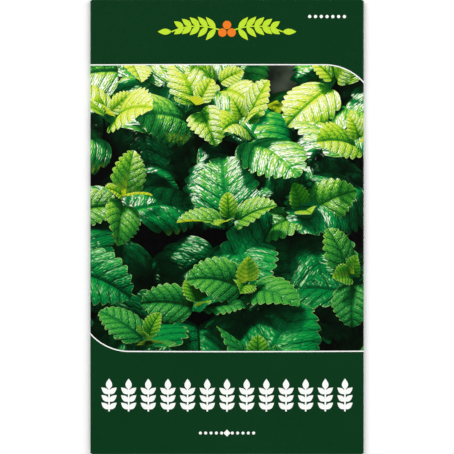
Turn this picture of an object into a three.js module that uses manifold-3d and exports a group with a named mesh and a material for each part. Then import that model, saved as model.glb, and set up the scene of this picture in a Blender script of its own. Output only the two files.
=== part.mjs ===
// A filled seed packet, lying on its back: a flat envelope folded and glued from one sheet of coated paper,
// with a heat-sealed sachet of seeds inside it.
//
// Millimetres. X runs across the packet and Y up its front, towards the top fold. Z is up, out of the front.
// The origin is on the surface that the packet lies on, under its middle.

import * as THREE from "three";
import { mergeVertices } from "three/addons/utils/BufferGeometryUtils.js";
import Module from "manifold-3d";

const wasm = await Module();
wasm.setup();

// ---- Driving dimensions ----

const WIDTH = 90; // over the two side folds
const HEIGHT = 150; // over the bottom and top folds
const BELLY = 3.4; // the front's highest point
const BELLY_Y = -10; // where that is: the seeds have slid below the middle
const BELLY_POWER = 2.2; // how square-shouldered the front's bulge is

const PAPER = 0.15; // coated paper
const GAP = 0.14; // between two glued layers
const GLUE = 0.05; // the dried film in the middle of that gap
const FOLD_RUN = 0.5; // how far in from the packet's edge a fold starts

const EDGE_LIFT = 0.6; // the back's outer face at the folds
const EDGE_TOP = 1.6; // the front's outer face at the folds
const FLAT_X = 20; // the back is flat this far to each side of the middle
const FLAT_Y = 30; // and this far up and down

const SIDE_FLAP = 12; // glue flap inside the right-hand fold
const BACK_INSET = 2; // the back panel stops this far short of the right-hand fold
const BOTTOM_FLAP = 14;
const TOP_FLAP = 20;
const FLAP_TAPER = 5; // each end of an end flap's free edge is set in by this much
const GLUE_MARGIN = 1.5; // glue kept back from the edges of a flap

const SACHET = { width: 58, height: 92, y: -8, foil: 0.1, lift: 0.12, seal: 5, rise: 14, plump: 2.25 };
const SEAL_GAP = 0.02; // between the sachet's two webs at the seal
const SEED = { length: 1.8, width: 1.0, height: 0.9 };
const PILE = { seeds: 40, length: 13, width: 10, height: 1.15, y: -16, sink: 0.35, tilt: 0.25 };

// ---- Numbers ----

const HALF_WIDTH = WIDTH / 2;
const HALF_HEIGHT = HEIGHT / 2;
const PANEL_X = HALF_WIDTH - FOLD_RUN; // where the side folds start
const PANEL_Y = HALF_HEIGHT - FOLD_RUN; // where the end folds start

const clamp01 = (t) => Math.min(1, Math.max(0, t));
const smoothstep = (t) => clamp01(t) ** 2 * (3 - 2 * clamp01(t));
const point = (x, y, z) => new THREE.Vector3(x, y, z);

// Numbers from one value to another in equal steps, both ends included.
function stations(from, to, steps) {
  return Array.from({ length: steps + 1 }, (_, k) => from + ((to - from) * k) / steps);
}

// Stations through a list of stops, with as many steps between each two stops as the second list says.
function stationsThrough(stops, steps) {
  return [stops[0], ...steps.flatMap((count, k) => stations(stops[k], stops[k + 1], count).slice(1))];
}

// The same random numbers on every run, from 0 to 1.
function seededRandom(seed) {
  let state = seed;
  return () => {
    state = (Math.imul(state, 1664525) + 1013904223) >>> 0;
    return state / 2 ** 32;
  };
}

// ---- The packet's two faces, as heights over the surface it lies on ----

// The back's outer face: flat in the middle, curling up towards all four folds.
function backOuter(x, y) {
  const across = smoothstep((Math.abs(x) - FLAT_X) / (HALF_WIDTH - FLAT_X));
  const along = smoothstep((Math.abs(y) - FLAT_Y) / (HALF_HEIGHT - FLAT_Y));
  return EDGE_LIFT * (1 - (1 - across) * (1 - along));
}

// The front's outer face: a soft pillow that comes down to EDGE_TOP at the folds.
function frontOuter(x, y) {
  const reach = y > BELLY_Y ? HALF_HEIGHT - BELLY_Y : HALF_HEIGHT + BELLY_Y;
  const across = 1 - Math.min(1, Math.abs(x) / HALF_WIDTH) ** BELLY_POWER;
  const along = 1 - Math.min(1, Math.abs(y - BELLY_Y) / reach) ** BELLY_POWER;
  return EDGE_TOP + (BELLY - EDGE_TOP) * across * along;
}

// Middles of the paper's layers.
const frontMiddle = (x, y) => frontOuter(x, y) - PAPER / 2;
const backMiddle = (x, y) => backOuter(x, y) + PAPER / 2;
const sideFlapMiddle = (x, y) => backOuter(x, y) + PAPER + GAP + PAPER / 2;
const endFlapMiddle = (x, y) => backOuter(x, y) - GAP - PAPER / 2;

// Stations that the stacked layers share: closer where the back curls, wider where it is flat.
const CURL_STEPS = 5;
const ROWS = stationsThrough([-PANEL_Y, -FLAT_Y, FLAT_Y, PANEL_Y], [7, 6, 7]);
const FRONT_XS = stationsThrough([PANEL_X, FLAT_X, -FLAT_X, -PANEL_X], [CURL_STEPS, 4, CURL_STEPS]);
const BACK_XS = stationsThrough(
  [-PANEL_X, -FLAT_X, FLAT_X, PANEL_X - BACK_INSET],
  [CURL_STEPS, 2, CURL_STEPS],
);

// ---- Sheets ----

// A closed sheet of even thickness round a grid of mid-surface points, grid[row][column].
// Where the grid holds null, the sheet is cut away.
function thickSheet(grid, thickness) {
  const at = (i, j) => (grid[i] ? (grid[i][j] ?? null) : null);
  const corner = (i, j) => at(i, j) && at(i, j + 1) && at(i + 1, j) && at(i + 1, j + 1);
  const points = [];
  const faces = [];
  const upper = grid.map(() => []);
  const lower = grid.map(() => []);

  grid.forEach((row, i) =>
    row.forEach((middle, j) => {
      if (!middle) return;
      const across = (at(i, j + 1) ?? middle).clone().sub(at(i, j - 1) ?? middle);
      const along = (at(i + 1, j) ?? middle).clone().sub(at(i - 1, j) ?? middle);
      const offset = across.cross(along).setLength(thickness / 2);
      upper[i][j] = points.push(middle.clone().add(offset)) - 1;
      lower[i][j] = points.push(middle.clone().sub(offset)) - 1;
    }),
  );

  // The diagonal of a face leans the same way in every layer, so that stacked layers stay parallel.
  const addQuad = (a, b, c, d) => {
    const lean = (p, q) => (points[q].x - points[p].x) * (points[q].y - points[p].y);
    if (lean(a, c) >= lean(b, d)) faces.push([a, b, c], [a, c, d]);
    else faces.push([a, b, d], [b, c, d]);
  };

  grid.forEach((row, i) =>
    row.forEach((_, j) => {
      if (!corner(i, j)) return;
      addQuad(upper[i][j], upper[i][j + 1], upper[i + 1][j + 1], upper[i + 1][j]);
      addQuad(lower[i][j], lower[i + 1][j], lower[i + 1][j + 1], lower[i][j + 1]);
      const sides = [
        { next: [i - 1, j], from: [i, j], to: [i, j + 1] },
        { next: [i, j + 1], from: [i, j + 1], to: [i + 1, j + 1] },
        { next: [i + 1, j], from: [i + 1, j + 1], to: [i + 1, j] },
        { next: [i, j - 1], from: [i + 1, j], to: [i, j] },
      ];
      for (const { next, from, to } of sides) {
        if (corner(...next)) continue;
        const [a, b] = [upper[from[0]][from[1]], upper[to[0]][to[1]]];
        const [c, d] = [lower[to[0]][to[1]], lower[from[0]][from[1]]];
        addQuad(a, d, c, b);
      }
    }),
  );

  const geometry = new THREE.BufferGeometry();
  const coordinates = points.flatMap((p) => [p.x, p.y, p.z]);
  geometry.setAttribute("position", new THREE.Float32BufferAttribute(coordinates, 3));
  geometry.setIndex(faces.flat());
  return geometry;
}

// A thick sheet that follows a height over the given stations.
function layer(xs, ys, height, thickness) {
  return thickSheet(
    ys.map((y) => xs.map((x) => point(x, y, height(x, y)))),
    thickness,
  );
}

// ---- The envelope: one sheet, folded ----

const FOLD_REACH = FOLD_RUN - PAPER / 2;
const FOLD_ANGLES = stations(-Math.PI / 2, Math.PI / 2, 5).slice(1, -1); // from the lower layer to the upper one

// A fold's section is half an ellipse that joins two layers. These are its run outwards and its height.
const foldRun = (angle) => FOLD_REACH * Math.cos(angle);
const foldHeight = (low, high, angle) => (low + high) / 2 + ((high - low) / 2) * Math.sin(angle);

// The sheet's columns, from the side flap's free edge round the front to the back panel's free edge.
// Each gives its mid-surface point at a height y up the packet, and a front column also its x.
function sheetColumns() {
  const onLayer = (height) => (x) => ({ at: (y) => point(x, y, height(x, y)) });
  const onFold = (side, lowLayer) => (angle) => ({
    at: (y) => {
      const edge = PANEL_X * side;
      const z = foldHeight(lowLayer(edge, y), frontMiddle(edge, y), angle);
      return point(edge + foldRun(angle) * side, y, z);
    },
  });
  return [
    ...stations(PANEL_X - SIDE_FLAP, PANEL_X, 3).map(onLayer(sideFlapMiddle)),
    ...FOLD_ANGLES.map(onFold(1, sideFlapMiddle)),
    ...FRONT_XS.map((x) => ({ ...onLayer(frontMiddle)(x), frontX: x })),
    ...FOLD_ANGLES.toReversed().map(onFold(-1, backMiddle)),
    ...BACK_XS.map(onLayer(backMiddle)),
  ];
}

// An end flap and its fold as rows, from the flap's free edge to the front panel. They give the mid-surface
// point at a front column's x. side is -1 at the packet's bottom and 1 at its top.
function endRows(side, length) {
  const flapRow = (y) => (x) => {
    const narrowed = x * (1 - (FLAP_TAPER / PANEL_X) * ((PANEL_Y - y) / length));
    return point(narrowed, y * side, endFlapMiddle(narrowed, y * side));
  };
  const foldRow = (angle) => (x) => {
    const edge = PANEL_Y * side;
    const z = foldHeight(endFlapMiddle(x, edge), frontMiddle(x, edge), angle);
    return point(x, edge + foldRun(angle) * side, z);
  };
  return [...stations(PANEL_Y - length, PANEL_Y, 3).map(flapRow), ...FOLD_ANGLES.map(foldRow)];
}

function envelopeGeometry() {
  const columns = sheetColumns();
  const endGrid = (rows) =>
    rows.map((row) => columns.map(({ frontX }) => (frontX === undefined ? null : row(frontX))));
  return thickSheet(
    [
      ...endGrid(endRows(-1, BOTTOM_FLAP)),
      ...ROWS.map((y) => columns.map((column) => column.at(y))),
      ...endGrid(endRows(1, TOP_FLAP).toReversed()),
    ],
    PAPER,
  );
}

// ---- Glue films ----

// Along the side seam, between the side flap and the back panel.
function seamGlueGeometry() {
  const xs = stations(PANEL_X - SIDE_FLAP + GLUE_MARGIN, PANEL_X - BACK_INSET - GLUE_MARGIN, 2);
  return layer(xs, ROWS.slice(1, -1), (x, y) => backOuter(x, y) + PAPER + GAP / 2, GLUE);
}

// Under an end flap, between it and the back panel.
function flapGlueGeometry(side, length) {
  const ends = [PANEL_Y - GLUE_MARGIN, PANEL_Y - length + GLUE_MARGIN].map((y) => y * side);
  const ys = stations(Math.min(...ends), Math.max(...ends), 3);
  const half = PANEL_X - BACK_INSET - FLAP_TAPER - GLUE_MARGIN;
  const xs = stationsThrough([-half, -FLAT_X, FLAT_X, half], [4, 2, 4]);
  return layer(xs, ys, (x, y) => backOuter(x, y) - GAP / 2, GLUE);
}

// ---- The sachet ----

// The back web rests on the inside of the back panel.
const sachetBack = (x, y) => backOuter(x, y) + PAPER + SACHET.lift + SACHET.foil / 2;

// The front web lies on the back web at the seal, and swells over the seeds inside it.
function sachetFront(x, y) {
  const swell = (inside) => Math.sin((Math.PI / 2) * clamp01((inside - SACHET.seal) / SACHET.rise));
  const bulge = swell(SACHET.width / 2 - Math.abs(x)) * swell(SACHET.height / 2 - Math.abs(y - SACHET.y));
  return sachetBack(x, y) + SACHET.foil + SEAL_GAP + SACHET.plump * bulge;
}

// Stations across one side of the sachet's middle: its edge, the seal's inner edge, the swell and the crown.
function sachetStations(half, middle) {
  const sealed = half - SACHET.seal;
  const crown = sealed - SACHET.rise;
  const stops = [-half, -sealed, -crown, crown, sealed, half].map((v) => v + middle);
  return stationsThrough(stops, [1, 3, 2, 3, 1]);
}

function sachetGeometry(height) {
  const xs = sachetStations(SACHET.width / 2, 0);
  const ys = sachetStations(SACHET.height / 2, SACHET.y);
  return layer(xs, ys, height, SACHET.foil);
}

// ---- The seeds ----

function solidOf(geometry) {
  const bare = geometry.clone();
  bare.deleteAttribute("normal");
  bare.deleteAttribute("uv");
  const merged = mergeVertices(bare, 1e-4);
  return new wasm.Manifold(
    new wasm.Mesh({
      numProp: 3,
      vertProperties: new Float32Array(merged.attributes.position.array),
      triVerts: new Uint32Array(merged.index.array),
    }),
  );
}

function geometryOf(solid) {
  const mesh = solid.getMesh();
  const geometry = new THREE.BufferGeometry();
  geometry.setAttribute("position", new THREE.BufferAttribute(new Float32Array(mesh.vertProperties), 3));
  geometry.setIndex(new THREE.BufferAttribute(new Uint32Array(mesh.triVerts), 1));
  return geometry;
}

// A pile of nutlets placed as a sunflower's seeds are, each sunk into the low mound that they cover.
function seedsGeometry() {
  const random = seededRandom(7);
  const goldenAngle = Math.PI * (3 - Math.sqrt(5));
  const floor = PAPER + SACHET.lift + SACHET.foil + SEAL_GAP;
  const lowestMiddle = Math.hypot(SEED.height * Math.cos(PILE.tilt), SEED.length * Math.sin(PILE.tilt)) / 2;
  const mound = new THREE.SphereGeometry(0.5, 16, 6);
  mound.scale(PILE.length, PILE.width, PILE.height);
  mound.translate(0, PILE.y, floor + PILE.height / 2);
  let pile = solidOf(mound);
  for (let k = 0; k < PILE.seeds; k++) {
    const out = Math.sqrt((k + 0.5) / PILE.seeds);
    const surface = floor + (PILE.height / 2) * (1 + Math.sqrt(1 - out * out));
    const seed = new THREE.IcosahedronGeometry(0.5, 0);
    seed.scale(SEED.length, SEED.width, SEED.height);
    seed.rotateY((2 * random() - 1) * PILE.tilt);
    seed.rotateZ(random() * Math.PI * 2);
    seed.translate(
      (PILE.length / 2) * out * Math.cos(k * goldenAngle),
      PILE.y + (PILE.width / 2) * out * Math.sin(k * goldenAngle),
      Math.max(floor + lowestMiddle, surface + SEED.height * (0.5 - PILE.sink)),
    );
    pile = pile.add(solidOf(seed));
  }
  return geometryOf(pile);
}

// ---- Materials ----

const finish = (color, roughness, metalness) =>
  new THREE.MeshStandardMaterial({ color, roughness, metalness });

const printedPaper = finish(0x123a1f, 0.45, 0);
const driedGlue = finish(0xe6dcc0, 0.3, 0);
const foilPaper = finish(0xc9ccd0, 0.35, 0.6);
const seedCoat = finish(0x2f2118, 0.7, 0);

// ---- Assembly ----

const packet = new THREE.Group();

function addPiece(name, geometry, material) {
  const mesh = new THREE.Mesh(geometry, material);
  mesh.name = name;
  packet.add(mesh);
}

addPiece("envelope", envelopeGeometry(), printedPaper);
addPiece("side_seam_glue", seamGlueGeometry(), driedGlue);
addPiece("bottom_flap_glue", flapGlueGeometry(-1, BOTTOM_FLAP), driedGlue);
addPiece("top_flap_glue", flapGlueGeometry(1, TOP_FLAP), driedGlue);
addPiece("sachet_back_web", sachetGeometry(sachetBack), foilPaper);
addPiece("sachet_front_web", sachetGeometry(sachetFront), foilPaper);
addPiece("seeds", seedsGeometry(), seedCoat);

export default packet;
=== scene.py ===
import math
from functools import reduce

import bpy
import numpy as np
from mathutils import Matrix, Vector
from mathutils.geometry import delaunay_2d_cdt


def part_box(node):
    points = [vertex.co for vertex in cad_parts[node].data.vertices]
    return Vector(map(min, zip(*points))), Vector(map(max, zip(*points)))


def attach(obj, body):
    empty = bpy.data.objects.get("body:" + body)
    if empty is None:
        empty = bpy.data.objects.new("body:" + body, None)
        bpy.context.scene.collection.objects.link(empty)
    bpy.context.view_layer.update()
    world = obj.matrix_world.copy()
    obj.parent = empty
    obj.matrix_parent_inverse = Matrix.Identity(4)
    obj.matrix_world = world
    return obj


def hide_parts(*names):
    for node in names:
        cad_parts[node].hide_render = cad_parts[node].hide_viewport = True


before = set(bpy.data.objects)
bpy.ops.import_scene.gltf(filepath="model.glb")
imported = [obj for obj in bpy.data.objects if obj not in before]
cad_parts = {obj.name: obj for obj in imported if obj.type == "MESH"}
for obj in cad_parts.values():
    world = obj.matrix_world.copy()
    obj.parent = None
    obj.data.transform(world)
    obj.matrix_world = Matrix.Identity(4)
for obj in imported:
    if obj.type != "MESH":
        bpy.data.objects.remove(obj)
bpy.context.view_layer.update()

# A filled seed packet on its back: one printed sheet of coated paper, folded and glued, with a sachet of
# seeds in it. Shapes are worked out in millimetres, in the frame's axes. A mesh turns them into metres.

MM = 0.001

# ---- Driving dimensions ----

HALF_WIDTH, HALF_HEIGHT, BELLY = (round(value / MM, 1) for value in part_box("envelope")[1])
BELLY_Y, BELLY_POWER = -10.0, 2.2  # where the front is highest, and how flat it stays round there
PAPER, FOIL, GLUE = 0.15, 0.1, 0.05  # thicknesses
GAP = 0.14  # between two glued layers
GLUE_MARGIN = 1.5  # how far a glue film ends from a flap's edges
SEAM_END = 6.0  # how far the side seam's film ends from the end folds
FOLD_RUN = 0.5  # how far in from the packet's edge a fold starts
EDGE_LIFT, EDGE_TOP = 0.6, 1.6  # the back's and the front's outer face at the folds
FLAT_X, FLAT_Y = 20.0, 30.0  # half the size of the flat spot that the packet lies on
SACHET_X, SACHET_Y, SACHET_MIDDLE = 29.0, 46.0, -8.0  # half the sachet's size, and where its middle is
SACHET_LIFT, SEAL_GAP = 0.12, 0.02
SEAL, SEAL_RISE, PLUMP = 5.0, 14.0, 2.25  # the seal's width, and how far in and how high the front web swells
IMPRINT, IMPRINT_RUN = 0.07, 3.0  # how far the front sinks past the sachet's rim, and over what distance
DENTS = 0.08
SIDE_FLAP, BACK_INSET = 12.0, 2.0
BOTTOM_FLAP, TOP_FLAP, FLAP_TAPER = 14.0, 20.0, 5.0

PANEL_X, PANEL_Y = HALF_WIDTH - FOLD_RUN, HALF_HEIGHT - FOLD_RUN
FOLD_REACH = FOLD_RUN - PAPER / 2
# How far above the back's outer face the middle of each layer behind the front lies.
BACK_LAYER, SIDE_FLAP_LAYER, END_FLAP_LAYER = PAPER / 2, PAPER + GAP + PAPER / 2, -GAP - PAPER / 2

# The picture's window, from one white keyline to the other. Its top right and bottom left corners are round.
PICTURE_TOP, PICTURE_BOTTOM = 53.3, -40.85
PICTURE_MIDDLE = (PICTURE_TOP + PICTURE_BOTTOM) / 2
PICTURE_ROUND = 17.1
ROUND_START = 32.15  # where the keyline starts to turn, left or right of the middle
KEYLINE = 0.37


def smoothstep(low, high, x):
    t = np.clip((np.asarray(x, float) - low) / (high - low), 0, 1)
    return t * t * (3 - 2 * t)


def unit(vectors):
    return vectors / np.linalg.norm(vectors, axis=-1, keepdims=True)


def dot(a, b):
    return (a * b).sum(-1)


def cross(a, b):
    """The signed area between two vectors in the plane of their first two values."""
    return a[:, 0] * b[:, 1] - a[:, 1] * b[:, 0]


def columns(*values):
    return np.stack(values, 1)


# ---- The folded sheet ----


def back_outer(x, y):
    across = smoothstep(FLAT_X, HALF_WIDTH, np.abs(x))
    along = smoothstep(FLAT_Y, HALF_HEIGHT, np.abs(y))
    return EDGE_LIFT * (1 - (1 - across) * (1 - along))


def sachet_inset(x, y):
    """How far in from the sachet's sides a point is, and from its ends."""
    return np.array([SACHET_X - np.abs(x), SACHET_Y - np.abs(y - SACHET_MIDDLE)])


def front_outer(x, y):
    """The front's bulge, with the faint dents of handling and the step over the sachet's rim."""
    reach = np.where(y > BELLY_Y, HALF_HEIGHT - BELLY_Y, HALF_HEIGHT + BELLY_Y)
    across = 1 - np.minimum(1, np.abs(x) / HALF_WIDTH) ** BELLY_POWER
    along = 1 - np.minimum(1, np.abs(y - BELLY_Y) / reach) ** BELLY_POWER
    dents = DENTS * np.sin(x / 8.5 + 1.7 * np.sin(y / 21)) * np.cos(y / 12.5 + 1.4 * np.sin(x / 17))
    over_sachet = smoothstep(-IMPRINT_RUN, IMPRINT_RUN, sachet_inset(x, y)).prod(0)
    slack = dents - IMPRINT * (1 - over_sachet)
    return EDGE_TOP + ((BELLY - EDGE_TOP) * along + slack * np.minimum(1, 3 * along)) * across


def levels(x, y, layer):
    """The heights of the middle of a layer behind the front, and of the front's."""
    return back_outer(x, y) + layer, front_outer(x, y) - PAPER / 2


def arc_length(x, y, layer):
    """Half the outline of the ellipse that a fold follows from the front to another layer."""
    low, high = levels(x, y, layer)
    a, b = FOLD_REACH, (high - low) / 2
    return math.pi / 2 * (3 * (a + b) - math.sqrt((3 * a + b) * (a + 3 * b)))


RIGHT_ARC = arc_length(PANEL_X, 0, SIDE_FLAP_LAYER)
LEFT_ARC = arc_length(PANEL_X, 0, BACK_LAYER)
END_ARC = arc_length(0, PANEL_Y, END_FLAP_LAYER)


def turned(past, arc_run):
    """How far beyond a fold's start a sheet lies that has run past it, and the cosine of its turn."""
    turn = np.clip(past / arc_run, 0, 1) * math.pi
    beyond = np.where(past < arc_run, FOLD_REACH * np.sin(turn), arc_run - past)
    return np.where(past > 0, beyond, past), np.cos(turn)


def fold(flat):
    """Where points of the flat sheet's middle layer lie once it is folded. The front panel stays where it is
    in the flat sheet, with the side flap to its right, the back panel to its left, and end flaps above and
    below."""
    x, y = flat.T
    beyond_x, facing_x = turned(np.abs(x) - PANEL_X, np.where(x > 0, RIGHT_ARC, LEFT_ARC))
    beyond_y, facing_y = turned(np.abs(y) - PANEL_Y, END_ARC)
    at_x, at_y = np.sign(x) * (PANEL_X + beyond_x), np.sign(y) * (PANEL_Y + beyond_y)
    at_side = np.abs(x) > PANEL_X
    layer = np.where(at_side, np.where(x > 0, SIDE_FLAP_LAYER, BACK_LAYER), END_FLAP_LAYER)
    low, high = levels(np.clip(at_x, -PANEL_X, PANEL_X), np.clip(at_y, -PANEL_Y, PANEL_Y), layer)
    facing = np.where(at_side, facing_x, facing_y)
    return columns(at_x, at_y, (low + high) / 2 + (high - low) / 2 * facing)


NORMAL_STEP = 0.01


def fold_face(flat, offset):
    """Points at an offset out of the folded sheet's middle layer, and the sheet's normals there."""
    middle = fold(flat)
    step = np.where(flat > 0, -NORMAL_STEP, NORMAL_STEP)
    along_x = (fold(flat + step * [1, 0]) - middle) * np.sign(step[:, :1])
    along_y = (fold(flat + step * [0, 1]) - middle) * np.sign(step[:, 1:])
    normal = unit(np.cross(along_x, along_y))
    return middle + normal * offset, normal


# ---- Plane shapes ----


def arc(x, y, radius, start, sweep, steps=24):
    angle = start + np.linspace(0, sweep, steps + 1)
    return columns(x + radius * np.cos(angle), y + radius * np.sin(angle))


def circle(x, y, radius, steps=24):
    return arc(x, y, radius, 0, 2 * math.pi, steps)[:-1]


def rectangle(left, bottom, right, top):
    return np.array([[left, bottom], [right, bottom], [right, top], [left, top]], float)


def leaf_shape(x, y, length, width, heading, steps=7):
    """A pointed oval from its stalk's end at (x, y)."""
    t = np.linspace(0, 1, steps + 1)
    half = width / 2 * np.sin(np.pi * t**0.85) / length
    outline = np.concatenate([columns(t, -half), columns(t, half)[-2:0:-1]]) * length
    cos, sin = math.cos(heading), math.sin(heading)
    return outline @ np.array([[cos, sin], [-sin, cos]]) + [x, y]


def leaf_pair(x, y, length, width, heading, spread, ink):
    """Two leaves from one point, one on each side of a heading, with their ink."""
    return [(leaf_shape(x, y, length, width, heading + turn), ink) for turn in (spread, -spread)]


def ribbon(points, width):
    """A line of some width through points, as a closed outline."""
    ahead = unit(np.gradient(points, axis=0))
    across = columns(-ahead[:, 1], ahead[:, 0]) * width / 2
    return np.concatenate([points + across, (points - across)[::-1]])


def sides(outline):
    """The two ends of each side of a closed outline."""
    return zip(outline, np.roll(outline, -1, 0))


def ring(count):
    """The numbers of a closed outline's points, each with the next one's."""
    return columns(np.arange(count), np.roll(np.arange(count), -1))


def divided(a, b, spacing, end=False):
    """Points from a up to b, without b unless the end is asked for."""
    steps = max(1, round(float(np.linalg.norm(np.subtract(b, a))) / spacing))
    return np.linspace(a, b, steps + end, endpoint=end)


def divided_loop(corners, spacing):
    return np.concatenate([divided(a, b, spacing) for a, b in sides(corners)])


def inside(points, outline):
    """The numbers of the points that lie in a closed outline."""
    near = np.flatnonzero(((points >= outline.min(0)) & (points <= outline.max(0))).all(1))
    x, y = points[near].T
    odd = np.zeros(len(near), bool)
    for (x0, y0), (x1, y1) in sides(outline):
        if y0 != y1:
            odd ^= ((y0 <= y) != (y1 <= y)) & (x < x0 + (y - y0) * (x1 - x0) / (y1 - y0))
    return near[odd]


SHAKE = 0.15


def filler(outline, spacing, rng, margin=0.0):
    """Points in an outline, on a triangular grid that is shaken a little and starts a margin outside it."""
    (left, bottom), (right, top) = outline.min(0) - margin, outline.max(0) + margin
    y = np.arange(bottom, top, spacing * math.sqrt(0.75))[:, None]
    x = np.arange(left, right, spacing) + np.arange(len(y))[:, None] % 2 * spacing / 2
    points = np.stack(np.broadcast_arrays(x, y), 2).reshape(-1, 2)
    points = points + rng.uniform(-SHAKE, SHAKE, points.shape) * spacing
    return points[inside(points, outline)]


# ---- The pictured plants ----

# The picture looks down on a bed of lemon balm. Its own space has X to the right and Y up in the picture,
# and Z towards the viewer, in millimetres on the paper.
LOOKS_DOWN = math.radians(48)
ASIDE = np.array([1.0, 0.0, 0.0])
UP = np.array([0.0, math.cos(LOOKS_DOWN), math.sin(LOOKS_DOWN)])
AWAY = np.array([0.0, math.sin(LOOKS_DOWN), -math.cos(LOOKS_DOWN)])
TO_VIEWER = np.array([0.0, 0.0, 1.0])
SUN = unit(np.array([-0.35, 0.9, 0.26]))

VEINS = 6.0  # side veins on each side of a midrib
TEETH_PER_VEIN = 1.1
VEIN_LEAN = 0.3  # how far towards the tip a side vein runs, as a share of the leaf's length
VEIN_CURVE = 1.25  # the power of the way out from the midrib by which it does so

START_GRID, TURN_GRID = (19, 7), (49, 13)  # points along and across a blade
MARGIN_POINTS, RIB_POINTS = 84, 12
GRID_MARGIN, BOX_MARGIN = 0.3, 0.1
STEP_U, STEP_M = 1e-3, 1e-2
SOLVER_STEPS, LEAST_AREA, HIT = 5, 0.3, 0.05  # HIT is how near a solution has to come, in millimetres
STRIDE_U, STRIDE_M = 0.1, 1.0  # the solver's longest steps


def bearing(angle):
    return math.cos(angle) * ASIDE + math.sin(angle) * AWAY


class HalfLeaf:
    """The blade on one side of a midrib. A point on it is given by u, from 0 at the leaf's base to 1 at its
    tip, and m, the millimetres out from the midrib."""

    def __init__(self, leaf, hand):
        self.__dict__.update(leaf)
        self.hand, self.slope = hand, leaf["slopes"][(hand + 1) // 2]
        u, m = self.grid(START_GRID, 1.1)
        at, _, _, area = self.slopes_at(u, m)
        self.starts, self.starts_at, self.starts_over = columns(u, m), at[:, :2], hand * area < 0
        self.low, self.high = self.starts_at.min(0) - BOX_MARGIN, self.starts_at.max(0) + BOX_MARGIN
        margin, rib = np.linspace(0, 1, MARGIN_POINTS), np.linspace(1, 0, RIB_POINTS)[1:-1]
        outline = np.concatenate([self.place(margin, self.edge(margin)), self.place(rib, 0 * rib)])
        self.lines = [(outline, ring(len(outline))), self.turning_line()]

    def grid(self, shape, beyond=1.0):
        """u and m for a grid of points on the blade, row by row of u."""
        u, share = np.meshgrid(np.linspace(0, 1, shape[0]), np.linspace(0, beyond, shape[1]), indexing="ij")
        return u.ravel(), (share * (self.reach(u) + GRID_MARGIN)).ravel()

    def turning_line(self):
        """Where the blade turns from one side to the other in the picture: points, and the pairs to join."""
        u, m = self.grid(TURN_GRID)
        area = self.slopes_at(u, m)[3]
        number = np.arange(len(u)).reshape(TURN_GRID)
        squares = number[:-1, :-1], number[1:, :-1], number[:-1, 1:], number[1:, 1:]
        a, b, c, d = (corner.ravel() for corner in squares)
        corners = np.concatenate([columns(a, b, c), columns(d, c, b)])
        above = area[corners] > 0
        crossed = above.any(1) & ~above.all(1)
        corners, above = corners[crossed], above[crossed]
        alone = np.where(above.sum(1) == 1, above.argmax(1), above.argmin(1))
        rows = np.arange(len(corners))
        ends = []
        for k in (1, 2):
            a, b = corners[rows, alone], corners[rows, (alone + k) % 3]
            share = area[a] / (area[a] - area[b])
            ends.append(self.place(u[a] + (u[b] - u[a]) * share, m[a] + (m[b] - m[a]) * share))
        return np.concatenate(ends), columns(rows, rows + len(rows))

    def place(self, u, m):
        turn = self.pitch - self.bend * u
        run = self.length * (math.sin(self.pitch) - np.sin(turn)) / self.bend
        rise = self.length * (np.cos(turn) - math.cos(self.pitch)) / self.bend
        lean = self.slope - self.arch * m
        out = self.hand * (math.sin(self.slope) - np.sin(lean)) / self.arch
        lift = (np.cos(lean) - math.cos(self.slope)) / self.arch
        lift = lift + self.ripple * (m / self.half_width) ** 2 * np.sin(2 * np.pi * self.vein_phase(u, m))
        roll = self.roll + self.twist * u
        across = out * np.cos(roll) - lift * np.sin(roll)
        above = out * np.sin(roll) + lift * np.cos(roll)
        return (
            self.base
            + (run - above * np.sin(turn))[..., None] * self.ahead
            + (rise + above * np.cos(turn))[..., None] * UP
            + across[..., None] * self.side
        )

    def slopes_at(self, u, m):
        """The point at (u, m), how it moves with each, and the signed area of the two moves in the picture.
        Times the hand, the area is less than 0 where the blade's upper side faces the viewer."""
        at = self.place(u, m)
        by_u, by_m = (self.place(u + STEP_U, m) - at) / STEP_U, (self.place(u, m + STEP_M) - at) / STEP_M
        return at, by_u, by_m, cross(by_u, by_m)

    def reach(self, u):
        """The blade's half width, without its teeth."""
        u = np.clip(u, 0, 1)
        return self.half_width * np.sin(np.pi * u**0.78) ** (0.5 + 0.12 * u)

    def vein_phase(self, u, m):
        """Whole numbers lie on side veins."""
        return VEINS * (u - VEIN_LEAN * (np.abs(m) / self.half_width) ** VEIN_CURVE)

    def edge(self, u):
        """The blade's half width with its round teeth."""
        smooth = self.reach(u)
        tooth = np.sin(np.pi * (TEETH_PER_VEIN * self.vein_phase(u, smooth) % 1) ** 1.2) ** 0.85
        deep = self.tooth * smoothstep(0.02, 0.15, u) * np.minimum(1, smooth / (2 * self.tooth))
        return smooth + deep * (tooth - 0.6)

    def find(self, points, over):
        """u and m for points of the picture, the blade's place there, and which points it covers. Where the
        blade folds over itself, over says whether its upper side is meant, or its underside."""
        meant = self.starts_over == over
        gap = ((points[:, None] - self.starts_at[meant]) ** 2).sum(2)
        u, m = self.starts[meant][gap.argmin(1)].T
        for _ in range(SOLVER_STEPS):
            at, by_u, by_m, area = self.slopes_at(u, m)
            off, area = points - at[:, :2], np.copysign(np.maximum(np.abs(area), LEAST_AREA), area)
            step_u, step_m = cross(off, by_m) / area, cross(by_u, off) / area
            u = np.clip(u + np.clip(step_u, -STRIDE_U, STRIDE_U), -0.05, 1.05)
            m = np.clip(m + np.clip(step_m, -STRIDE_M, STRIDE_M), -0.5, self.half_width * 1.15)
        at, _, _, area = self.slopes_at(u, m)
        hit = (((points - at[:, :2]) ** 2).sum(1) < HIT**2) & ((self.hand * area < 0) == over)
        return u, m, at, hit & (u >= 0) & (u <= 1) & (m >= 0) & (m <= self.edge(u))


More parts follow.
